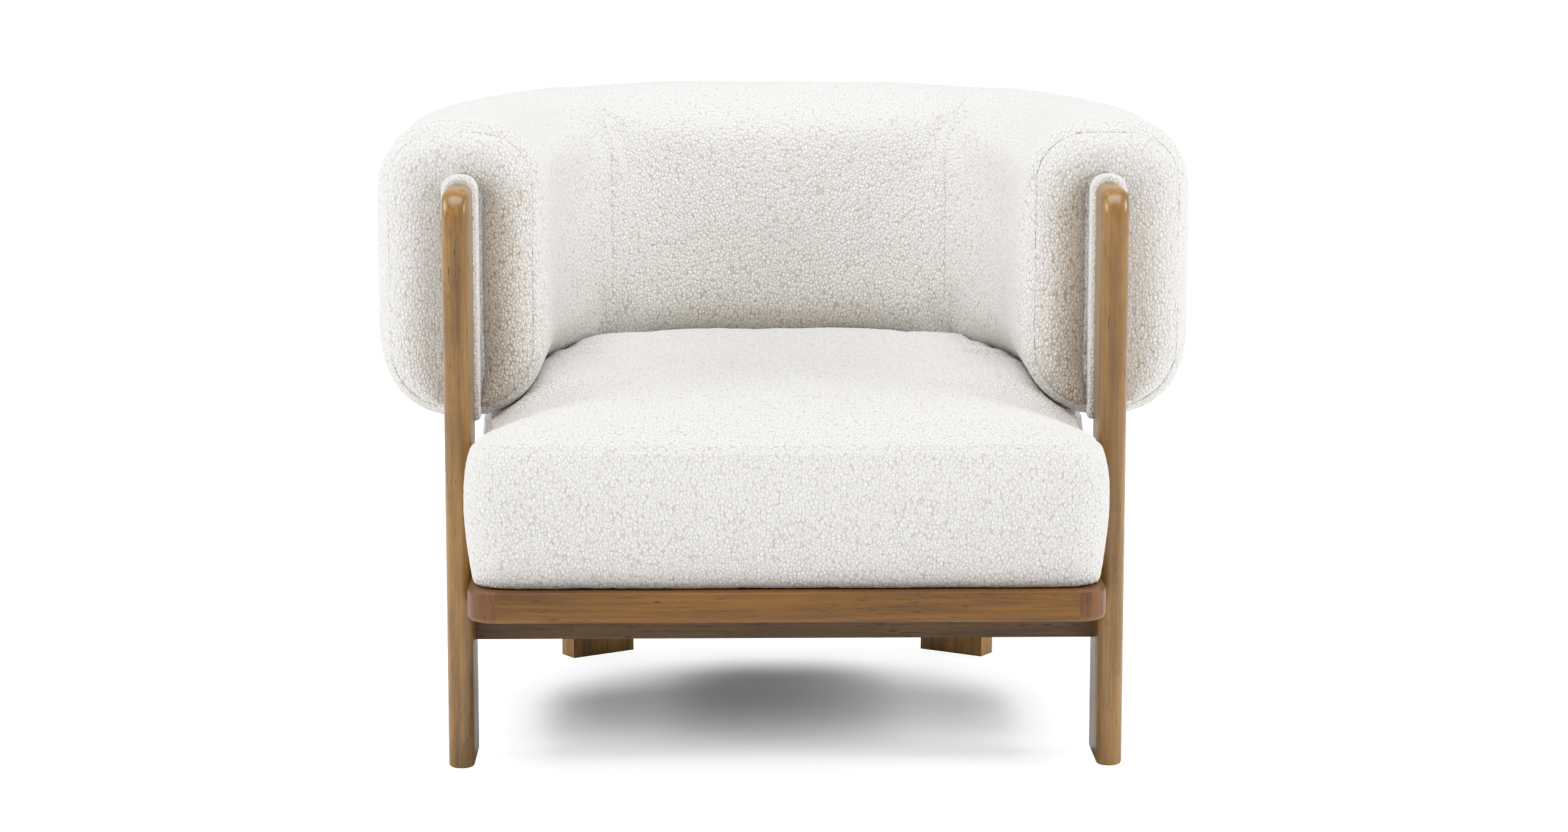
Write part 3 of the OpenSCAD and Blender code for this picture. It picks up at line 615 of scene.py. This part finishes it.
def sew_cushion(obj):
    """The seam round the top of the front and the sides: a fine groove between two low ridges."""
    sewn_above, near_side = 1 * MM, 32 * MM
    groove_deep, groove_wide = 1.6 * MM, 1.6 * MM
    ridge_high, ridge_wide, ridge_at = 0.8 * MM, 3 * MM, 5 * MM
    co, no = points_of(obj), normals_of(obj)
    dz = co[:, 2] - (seam_z + sewn_above)
    on_side = side_inset(co) < near_side
    groove = -groove_deep * np.exp(-(dz / groove_wide) ** 2)
    ridges = ridge_high * np.exp(-((np.abs(dz) - ridge_at) / ridge_wide) ** 2)
    set_points(obj, co + no * ((groove + ridges) * on_side)[:, None])


# ---------------------------------------------------------------- timber

def make_post():
    """The left front post: front edges well rounded, and the top rolled back and off to each side."""
    edge, roll, side = 12 * MM, 34 * MM, 11 * MM
    ease, foot_ease, last_step = 1.6 * MM, 5 * MM, 1.5 * MM
    half, depth, foot, top = (post_hi.x - post_lo.x) / 2, post_hi.y - post_lo.y, post_lo.z, post_hi.z
    shaft_from = foot + 10 * MM
    heights = [foot + foot_ease * share for share in (0, 0.08, 0.25, 0.5, 0.75, 1)]
    heights += list(np.linspace(shaft_from, top - roll, 40))
    heights += [top - roll + roll * math.sin(t) for t in np.radians(np.linspace(4, 90, 26))]
    rings = []
    for z in heights:
        trim = foot_ease - math.sqrt(max(foot_ease ** 2 - max(foot + foot_ease - z, 0) ** 2, 0))
        rise = min(max(z - (top - side), 0), side)
        hw = half - (side - math.sqrt(side * side - rise * rise)) - trim
        lift = min(max(z - (top - roll), 0), roll)
        front = roll - math.sqrt(roll * roll - lift * lift) + trim
        back = depth - trim - (last_step if z > top - 0.5 * MM else 0)
        r = min(edge, hw * 0.98)
        pts = [(-hw + r - r * math.cos(t), front + r - r * math.sin(t))
               for t in np.radians(np.linspace(0, 90, 9))]
        pts += [(hw - r + r * math.sin(t), front + r - r * math.cos(t))
                for t in np.radians(np.linspace(0, 90, 9))]
        pts += [(hw - ease + ease * math.cos(t), back - ease + ease * math.sin(t))
                for t in np.radians(np.linspace(0, 90, 4))]
        pts += [(-hw + ease - ease * math.sin(t), back - ease + ease * math.cos(t))
                for t in np.radians(np.linspace(0, 90, 4))]
        rings.append([(-arm_x + x, post_lo.y + y, z) for x, y in pts])
    return loft("post_left", np.array(rings))


# ---------------------------------------------------------------- materials

class Nodes:
    """Short names for building a material's node tree."""

    def __init__(self, name):
        self.material = bpy.data.materials.new(name)
        self.material.use_nodes = True
        self.tree = self.material.node_tree
        self.shader = self.tree.nodes["Principled BSDF"]

    def add(self, kind, **values):
        node = self.tree.nodes.new(kind)
        for key, value in values.items():
            if hasattr(node, key):
                setattr(node, key, value)
            else:
                node.inputs[key.replace("_", " ")].default_value = value
        return node

    def link(self, source, target):
        self.tree.links.new(source, target)

    def math(self, operation, a, b=None):
        node = self.add("ShaderNodeMath", operation=operation)
        for socket, value in zip(node.inputs, (a, b)):
            if isinstance(value, (int, float)):
                socket.default_value = value
            elif value is not None:
                self.link(value, socket)
        return node.outputs[0]

    def mix(self, factor, a, b, blend="MIX"):
        node = self.add("ShaderNodeMix", data_type="RGBA", blend_type=blend)
        for socket, value in ((node.inputs["Factor"], factor), (node.inputs[6], a), (node.inputs[7], b)):
            if isinstance(value, (int, float)):
                socket.default_value = value
            elif isinstance(value, tuple):
                socket.default_value = (*value, 1)
            else:
                self.link(value, socket)
        return node.outputs[2]

    def ramp(self, factor, stops):
        node = self.add("ShaderNodeValToRGB")
        ramp = node.color_ramp
        while len(ramp.elements) < len(stops):
            ramp.elements.new(0.5)
        for element, (place, colour) in zip(ramp.elements, stops):
            element.position = place
            element.color = (*colour, 1) if isinstance(colour, tuple) else (colour, colour, colour, 1)
        self.link(factor, node.inputs[0])
        return node.outputs[0]

    def noise(self, vector, scale, detail=3.0, rough=0.5, distortion=0.0):
        node = self.add("ShaderNodeTexNoise", Scale=scale, Detail=detail, Roughness=rough,
                        Distortion=distortion)
        self.link(vector, node.inputs["Vector"])
        return node.outputs["Fac"]

    def place(self, scale=(1, 1, 1), turn=(0, 0, 0), shift=(0, 0, 0)):
        where = self.add("ShaderNodeTexCoord")
        mapping = self.add("ShaderNodeMapping")
        mapping.inputs["Scale"].default_value = scale
        mapping.inputs["Rotation"].default_value = turn
        mapping.inputs["Location"].default_value = shift
        self.link(where.outputs["Object"], mapping.inputs["Vector"])
        return mapping.outputs[0]

    def bump(self, height, strength, distance):
        node = self.add("ShaderNodeBump", Strength=strength, Distance=distance)
        self.link(height, node.inputs["Height"])
        self.link(node.outputs[0], self.shader.inputs["Normal"])


def boucle(name, pitch=3.6, bump=1.0, dark=1.0):
    """Loop pile: pale rounded loops over a beige ground, which shows more as dark rises; shade is also
    painted in, browning the loops and baring more ground where the points carry it. pitch is in mm.
    """
    n = Nodes(name)
    base = n.place((1, 1, 0.75))
    wander = n.add("ShaderNodeTexNoise", Scale=190.0, Detail=2.0)
    n.link(base, wander.inputs["Vector"])
    warp = n.add("ShaderNodeVectorMath", operation="MULTIPLY_ADD")
    n.link(wander.outputs["Color"], warp.inputs[0])
    warp.inputs[1].default_value = (0.0035, 0.0035, 0.0035)
    n.link(base, warp.inputs[2])
    loops = n.add("ShaderNodeTexVoronoi", feature="F1", Scale=1000.0 / pitch, Randomness=1.0)
    n.link(warp.outputs[0], loops.inputs["Vector"])
    edges = n.add("ShaderNodeTexVoronoi", feature="DISTANCE_TO_EDGE", Scale=1000.0 / pitch, Randomness=1.0)
    n.link(warp.outputs[0], edges.inputs["Vector"])
    fine = n.noise(base, 1500.0, 3.0, 0.65)
    patch = n.noise(base, 240.0, 2.0)
    far = loops.outputs["Distance"]
    crack = n.ramp(edges.outputs["Distance"], [(0.0, 1.0), (0.07, 0.6), (0.20, 0.0)])
    pit = n.ramp(far, [(0.50, 0.0), (0.85, 1.0)])
    depth = n.math("MAXIMUM", n.math("MULTIPLY", crack, n.ramp(patch, [(0.38, 0.35), (0.62, 1.0)])), pit)
    # painted shade: a brown tone and more bare ground where the points carry it, beside the welts and at the
    # back's foot
    painted_shade = n.add("ShaderNodeAttribute", attribute_name="painted_shade").outputs["Fac"]
    ground_and_painted_shade = n.math("ADD", 0.52 * dark, n.math("MULTIPLY", painted_shade, 0.42))
    pale = n.mix(fine, (0.775, 0.77, 0.755), (0.865, 0.86, 0.845))
    pale = n.mix(n.math("MULTIPLY", painted_shade, 0.46), pale, (0.47, 0.40, 0.29))
    colour = n.mix(n.math("MULTIPLY", depth, ground_and_painted_shade), pale, (0.36, 0.285, 0.18))
    n.link(colour, n.shader.inputs["Base Color"])
    height = n.math("SUBTRACT", n.math("MULTIPLY", fine, 0.20), n.math("POWER", far, 1.5))
    height = n.math("SUBTRACT", height, n.math("MULTIPLY", crack, 0.35))
    n.bump(height, bump, pitch * 0.42 * MM)
    n.shader.inputs["Roughness"].default_value = 0.95
    n.shader.inputs["Specular IOR Level"].default_value = 0.12
    n.shader.inputs["Sheen Weight"].default_value = 0.22
    n.shader.inputs["Sheen Roughness"].default_value = 0.6
    return n.material


def timber(name, grain, light, dark, turn=0.0, seed=0.0, gloss=0.45, coat=0.06, streak=1.0):
    """Open-pored timber. grain is the axis that its fibres run along, turn an extra turn about Z."""
    n = Nodes(name)
    turns = {"x": (0, 0, turn), "y": (0, 0, math.pi / 2), "z": (0, math.pi / 2, 0)}[grain]
    body = n.place((1, 1, 1), turns, (seed, seed * 0.7, seed * 1.3))

    def stretched(along, across):
        mapping = n.add("ShaderNodeMapping")
        mapping.inputs["Scale"].default_value = (along, across, across)
        n.link(body, mapping.inputs["Vector"])
        return mapping.outputs[0]

    figure = n.noise(stretched(1.6, 13.0), 1.6, 4.0, 0.55, 0.9)
    fibres = n.noise(stretched(5.0, 150.0), 1.5, 3.0, 0.6)
    mottle = n.noise(stretched(4.0, 10.0), 2.2, 2.0, 0.5)
    pores = n.noise(stretched(52.0, 900.0), 1.0, 2.0, 0.55)
    clusters = n.noise(stretched(7.0, 34.0), 1.3, 3.0, 0.6)
    between = tuple((a + b) / 2 for a, b in zip(light, dark))
    tone = n.ramp(figure, [(0.30, dark), (0.47, between), (0.64, light)])
    bands = n.noise(stretched(2.4, 60.0), 1.6, 3.0, 0.6)
    tone = n.mix(n.math("MULTIPLY", n.ramp(fibres, [(0.40, 1.0), (0.62, 0.0)]), 0.42 * streak),
                 tone, tuple(c * 0.58 for c in dark))
    tone = n.mix(n.math("MULTIPLY", n.ramp(bands, [(0.36, 1.0), (0.50, 0.0)]), 0.55 * streak),
                 tone, tuple(c * 0.66 for c in dark))
    tone = n.mix(n.math("MULTIPLY", n.ramp(mottle, [(0.35, 0.0), (0.75, 1.0)]), 0.30),
                 tone, tuple(min(c * 1.22, 1) for c in light))
    pore = n.math("MULTIPLY", n.ramp(pores, [(0.60, 0.0), (0.68, 1.0)]),
                  n.ramp(clusters, [(0.42, 0.15), (0.62, 1.0)]))
    tone = n.mix(n.math("MULTIPLY", pore, 0.85), tone, tuple(c * 0.16 for c in dark))
    n.link(tone, n.shader.inputs["Base Color"])
    uneven = n.math("ADD", pore, n.math("MULTIPLY", fibres, 0.3))
    n.link(n.math("ADD", gloss, n.math("MULTIPLY", uneven, 0.22)), n.shader.inputs["Roughness"])
    height = n.math("SUBTRACT", n.math("MULTIPLY", fibres, 0.25), pore)
    n.bump(height, 0.22, 0.25 * MM)
    n.shader.inputs["Specular IOR Level"].default_value = 0.28
    n.shader.inputs["Coat Weight"].default_value = coat
    n.shader.inputs["Coat Roughness"].default_value = 0.16
    return n.material


def woven(name, colour, pitch, rough=0.9):
    """Plain woven cloth and straps. pitch is the threads' spacing in mm."""
    n = Nodes(name)
    where = n.place((1, 1, 1))
    threads = n.add("ShaderNodeTexVoronoi", feature="F1", distance="CHEBYCHEV", Scale=1000.0 / pitch,
                    Randomness=0.15)
    n.link(where, threads.inputs["Vector"])
    shade = n.mix(threads.outputs["Distance"], tuple(c * 1.5 for c in colour), tuple(c * 0.6 for c in colour))
    n.link(shade, n.shader.inputs["Base Color"])
    n.bump(threads.outputs["Distance"], 0.5, 0.2 * MM)
    n.shader.inputs["Roughness"].default_value = rough
    return n.material


def speckled(name, colour, rough, metal=0.0, grain=900.0):
    """Foam, moulded plastic or plated steel: a colour with a fine uneven surface."""
    n = Nodes(name)
    spots = n.noise(n.place((1, 1, 1)), grain, 3.0, 0.6)
    n.link(n.mix(spots, tuple(c * 0.8 for c in colour), colour), n.shader.inputs["Base Color"])
    n.link(n.math("ADD", rough, n.math("MULTIPLY", spots, 0.12)), n.shader.inputs["Roughness"])
    n.bump(spots, 0.3, 0.2 * MM)
    n.shader.inputs["Metallic"].default_value = metal
    return n.material


# ---------------------------------------------------------------- building the chair

def dress(obj, material, replaced):
    """Gives a piece its material, hangs it on the root body and hides the CAD nodes that it stands for."""
    obj.data.materials.clear()
    obj.data.materials.append(material)
    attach(obj, "root")
    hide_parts(*replaced)


def finish_node(name, material, bevel=0.0):
    """Gives a carried-over CAD node its material, and eased edges if bevel is set."""
    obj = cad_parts[name]
    for slot in obj.material_slots:
        slot.material = material
    if bevel:
        weld = obj.modifiers.new("weld", "WELD")
        weld.merge_threshold = 0.02 * MM
        ease = obj.modifiers.new("ease", "BEVEL")
        ease.width, ease.segments = bevel, 3
        ease.limit_method, ease.angle_limit = "ANGLE", math.radians(40)
        ease.harden_normals = True
        ease.use_clamp_overlap = True


BACK_PAINTED_SHADE = 0.6                               # how strongly shade is painted onto the pile at the foot of the back


def build_band(pile, fine_pile):
    """Arms, back, end panels and welts. Shade is also painted low on the back's front, towards its middle."""
    arm = make_arm()
    subdivide(arm, 2)
    panel = make_end_panel()
    subdivide(panel, 2)
    mark_painted_shade(panel)
    welt = make_welt()
    back = make_back()
    subdivide(back, 2)
    # painted shade on the back's front, just above the cushion, fading towards the arms
    none_above, full_below = seat_hi.z + 95 * MM, seat_hi.z - 5 * MM
    none_beyond, full_within = 0.27, 0.05
    low = smoothstep(none_above, full_below, points_of(back)[:, 2])
    middle = smoothstep(none_beyond, full_within, np.abs(points_of(back)[:, 0]))
    faces_front = normals_of(back)[:, 1] < 0.2
    record_painted_shade(back, BACK_PAINTED_SHADE * low * middle * faces_front)
    pieces = [
        (arm, pile, ["arm_cover_left", "arm_foam_left"], 0.9),
        (mirrored(arm, "arm_right"), pile, ["arm_cover_right", "arm_foam_right"], 0.9),
        (back, pile, ["back_cover", "back_foam"], 0.9),
        (panel, pile, ["end_panel_left"], 0.6),
        (mirrored(panel, "end_panel_right"), pile, ["end_panel_right"], 0.6)]
    for seed, (obj, material, replaced, fill) in enumerate(pieces):
        nub(obj, seed + 1)
        dress(obj, material, replaced)
    for obj, node in ((welt, "welt_left"), (mirrored(welt, "welt_right"), "welt_right")):
        dress(obj, fine_pile, [node])


def build_cushion(pile):
    obj = make_cushion()
    nub(obj, 9)
    sew_cushion(obj)
    dress(obj, pile, ["seat_cover", "seat_crown", "seat_foam"])


def build_timber():
    honey, honey_dark = (0.310, 0.160, 0.040), (0.122, 0.058, 0.012)
    amber, amber_dark = (0.180, 0.075, 0.009), (0.074, 0.029, 0.004)
    olive, olive_dark = (0.105, 0.053, 0.012), (0.048, 0.023, 0.005)
    # the rear legs' timber is paler than the posts': painted light that lifts legs standing in shade
    leg_painted_light, leg_painted_light_dark = (0.37, 0.200, 0.052), (0.170, 0.088, 0.022)
    chestnut, chestnut_dark = (0.150, 0.057, 0.013), (0.078, 0.028, 0.006)
    ease, leg_ease = 1.2 * MM, 3 * MM
    slant_turn = math.radians(33)
    post = make_post()
    other = mirrored(post, "post_right")
    dress(post, timber("timber_post_left", "z", honey, honey_dark, seed=1.0, gloss=0.36, coat=0.30),
          ["front_post_left"])
    dress(other, timber("timber_post_right", "z", honey, honey_dark, seed=4.3, gloss=0.36, coat=0.30),
          ["front_post_right"])
    finish_node("front_rail", timber("timber_front_rail", "x", amber, amber_dark, seed=2.0), ease)
    finish_node("front_stretcher", timber("timber_stretcher", "x", olive, olive_dark, seed=3.0), ease)
    finish_node("rear_rail", timber("timber_rear_rail", "x", amber, amber_dark, seed=5.0), ease)
    for side, sign in (("left", 1), ("right", -1)):
        rail = timber("timber_side_" + side, "y", amber, amber_dark, seed=6 + sign)
        finish_node("side_rail_" + side, rail, ease)
        corner = timber("timber_corner_" + side, "z", chestnut, chestnut_dark, seed=9 + sign, streak=0.5)
        finish_node("front_corner_" + side, corner, ease)
        slant = timber("timber_slant_" + side, "x", amber, amber_dark, turn=-sign * slant_turn,
                       seed=12 + sign)
        finish_node("rear_corner_" + side, slant, ease)
        leg = timber("timber_leg_" + side, "z", leg_painted_light, leg_painted_light_dark, seed=15 + sign)
        finish_node("rear_leg_" + side, leg, leg_ease)


def build_inside():
    """Pieces that only show from underneath or when the chair is taken apart."""
    black = woven("black_cloth", (0.012, 0.012, 0.020), 1.1)
    steel = speckled("zinc_steel", (0.62, 0.63, 0.65), 0.30, metal=1.0)
    ply = timber("plywood", "x", (0.72, 0.56, 0.36), (0.58, 0.42, 0.25), gloss=0.6, coat=0.0, streak=0.5)
    beech = timber("beech", "z", (0.70, 0.50, 0.32), (0.58, 0.39, 0.23), gloss=0.55, coat=0.0, streak=0.4)
    plastic = speckled("black_plastic", (0.03, 0.03, 0.03), 0.45)
    groups = [
        (black, ["dust_cover", "webbing_long", "webbing_cross"]),
        (steel, ["post_bolts", "post_inserts", "side_bolts", "side_inserts", "leg_bolts", "leg_inserts",
                 "cleat_bolts", "deck_screws"]),
        (ply, ["seat_deck", "lower_rib", "upper_rib", "inner_panel", "outer_panel"]),
        (beech, ["rib_uprights", "leg_cleats", "arm_block_left", "arm_block_right", "stretcher_dowels",
                 "rail_dowels"]),
        (plastic, ["glides"])]
    for material, names in groups:
        for name in names:
            finish_node(name, material)


# ---------------------------------------------------------------- floor, light and camera

SUN_SPREAD = 50                                 # degrees that a floor sun spans
FLOOR_HALF = 60.0
FLOOR_GREY = 0.62
FAR_GLOW = 0.75                                 # light that the floor gives off far from the chair
SKY = 0.45                                      # strength of the even light from all round
SOFTBOX_W, SIDE_W = 100, 76                     # watts


def floor_sun(name, floor, tilt, energy):
    """A broad sun that reaches only the floor, which is blown out to white in the photograph."""
    sun = bpy.data.lights.new(name, "SUN")
    sun.energy = energy
    sun.angle = math.radians(SUN_SPREAD)
    sun.cycles.max_bounces = 0
    obj = bpy.data.objects.new(name, sun)
    obj.rotation_euler = (math.radians(tilt), 0, 0)
    bpy.context.scene.collection.objects.link(obj)
    lit = bpy.data.collections.new(name + "_lit")
    lit.objects.link(floor)
    obj.light_linking.receiver_collection = lit
    return obj


def shade_floor_suns(suns, casters):
    """Only the seat and its frame shade the floor's own lights, which keeps the shadow compact."""
    for sun in suns:
        shading = bpy.data.collections.new(sun.name + "_casters")
        for obj in casters:
            shading.objects.link(obj)
        sun.light_linking.blocker_collection = shading


def soft_highlights():
    """Rolls bright fabric off gently while the floor, which is brighter still, goes to white."""
    view = bpy.context.scene.view_settings
    view.view_transform = "Standard"
    view.use_curve_mapping = True
    view.curve_mapping.white_level = (2, 2, 2)
    view.curve_mapping.extend = "HORIZONTAL"
    curve = view.curve_mapping.curves[3]
    curve.points[0].location = (0, 0)
    curve.points[1].location = (1, 1)
    for bright, shown in ((0.2, 0.19), (0.4, 0.37), (0.6, 0.54), (0.8, 0.68), (1.0, 0.80), (1.2, 0.885),
                          (1.4, 0.935), (1.6, 0.965), (1.8, 1.0)):
        curve.points.new(bright / 2, shown)
    view.curve_mapping.update()


def area_light(name, place, aim, size, power, size_y=None):
    light = bpy.data.lights.new(name, "AREA")
    light.energy = power
    light.shape = "RECTANGLE"
    light.size, light.size_y = size, size_y or size
    obj = bpy.data.objects.new(name, light)
    obj.location = place
    obj.rotation_euler = (Vector(aim) - Vector(place)).to_track_quat("-Z", "Y").to_euler()
    bpy.context.scene.collection.objects.link(obj)


def build_studio():
    """The floor, the sky and the lights. Returns the suns that light the floor only."""
    half = FLOOR_HALF
    floor = new_object("floor", [(-half, -half, 0), (half, -half, 0), (half, half, 0), (-half, half, 0)],
                       [(0, 1, 2, 3)], smooth=False)
    n = Nodes("studio_floor")
    n.shader.inputs["Base Color"].default_value = (FLOOR_GREY, FLOOR_GREY, FLOOR_GREY, 1)
    n.shader.inputs["Roughness"].default_value = 0.85
    away = n.add("ShaderNodeVectorMath", operation="LENGTH")
    n.link(n.place((1, 1, 1)), away.inputs[0])
    far = n.ramp(n.math("MULTIPLY", away.outputs["Value"], 0.25), [(0.30, 0.0), (0.75, 1.0)])
    n.link(n.math("MULTIPLY", far, FAR_GLOW), n.shader.inputs["Emission Strength"])
    n.shader.inputs["Emission Color"].default_value = (1, 1, 1, 1)
    n.shader.inputs["Specular IOR Level"].default_value = 0.1
    floor.data.materials.append(n.material)
    world = bpy.data.worlds.new("studio")
    world.use_nodes = True
    world.node_tree.nodes["Background"].inputs["Color"].default_value = (1, 1, 1, 1)
    world.node_tree.nodes["Background"].inputs["Strength"].default_value = SKY
    bpy.context.scene.world = world
    area_light("softbox", (0.0, -0.7, 3.1), (0, 0.05, 0.5), 2.4, SOFTBOX_W, 1.6)
    area_light("side_left", (-3.0, -0.4, 2.0), (0, 0, 0.55), 1.2, SIDE_W)
    area_light("side_right", (3.0, -0.4, 2.0), (0, 0, 0.55), 1.2, SIDE_W)
    return [floor_sun("floor_sun_front", floor, 43, 13.0), floor_sun("floor_sun_back", floor, -19, 10.0)]


def build_camera():
    """At the photograph's viewing angle: slightly left of the middle, looking 9 degrees down."""
    lens = bpy.data.cameras.new("camera")
    focal, down, aside = 84.14, 0.1566, -0.018
    lens.lens = focal
    lens.sensor_width = 36.0
    lens.clip_end = 200
    camera = bpy.data.objects.new("camera", lens)
    camera.location = (-0.0765, -4.448, 1.0648)
    camera.rotation_euler = (math.pi / 2 - down, 0, aside)
    bpy.context.scene.collection.objects.link(camera)
    bpy.context.scene.camera = camera


build_camera()
soft_highlights()
suns = build_studio()
build_timber()
build_inside()
build_band(boucle("boucle"), boucle("boucle_fine", pitch=2.6, bump=0.9, dark=0.8))
build_cushion(boucle("boucle_seat"))
rails = [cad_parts[name] for name in ("front_rail", "rear_rail", "side_rail_left", "side_rail_right")]
shade_floor_suns(suns, [bpy.data.objects["cushion"]] + rails)
